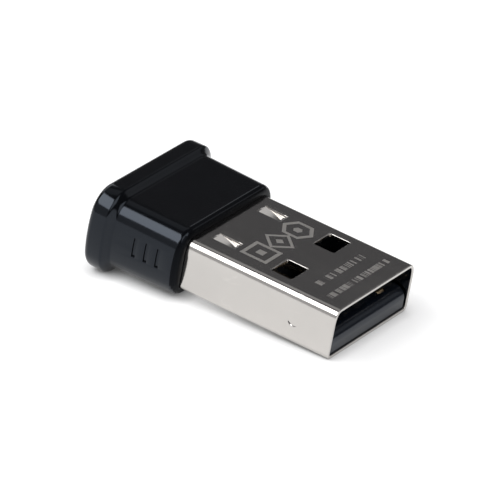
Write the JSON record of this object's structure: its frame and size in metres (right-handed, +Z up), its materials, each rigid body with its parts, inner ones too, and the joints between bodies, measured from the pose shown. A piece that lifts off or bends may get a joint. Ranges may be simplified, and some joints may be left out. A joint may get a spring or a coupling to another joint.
{
  "type": "miniature usb radio adapter",
  "caption": "Short flat plug with a bright folded metal shell, its contacts on a black tongue, and a flanged black plastic cap over the rear end.",
  "frame": {"origin": "middle of the box's underside, level with the lowest point of the cap's flange", "axes": "+X out of the plug's mouth, +Y to the plug's left seen from the cap, +Z up through the face with the two lances"},
  "size_m": [0.023, 0.0156, 0.0076],
  "materials": {
    "cap_plastic": "polished moulded black plastic",
    "plug_steel": "bright nickel-plated folded steel sheet",
    "carrier_plastic": "satin black moulded plastic",
    "contact_gold": "gold-plated copper alloy",
    "board": "green solder mask on glass-filled laminate",
    "chip_epoxy": "matt black moulding compound",
    "white_ceramic": "unglazed white ceramic",
    "tan_ceramic": "tan ceramic with tinned ends",
    "grey_ferrite": "grey ferrite with tinned ends",
    "resistor_film": "black coated film with tinned ends",
    "lid_metal": "plated metal lid",
    "tinned_lead": "tinned copper alloy"
  },
  "bodies": {
    "root": {"rear_cap": "cap_plastic", "plug_shell": "plug_steel", "contact_carrier": "carrier_plastic", "contact_vbus": "contact_gold", "contact_data_minus": "contact_gold", "contact_data_plus": "contact_gold", "contact_ground": "contact_gold", "circuit_board": "board", "radio_chip": "chip_epoxy", "memory_chip": "chip_epoxy", "voltage_regulator": "chip_epoxy", "crystal_base": "white_ceramic", "crystal_lid": "lid_metal", "chip_antenna": "white_ceramic", "balun_filter": "tan_ceramic", "ferrite_bead": "grey_ferrite", "resistor_1": "resistor_film", "resistor_2": "resistor_film", "regulator_lead_1": "tinned_lead", "regulator_lead_2": "tinned_lead", "regulator_lead_3": "tinned_lead", "regulator_lead_4": "tinned_lead", "regulator_lead_5": "tinned_lead", "capacitor_1": "tan_ceramic", "capacitor_2": "tan_ceramic", "capacitor_3": "tan_ceramic", "capacitor_4": "tan_ceramic", "capacitor_5": "tan_ceramic", "capacitor_6": "tan_ceramic", "capacitor_7": "tan_ceramic", "capacitor_8": "tan_ceramic"}
  },
  "joints": []
}
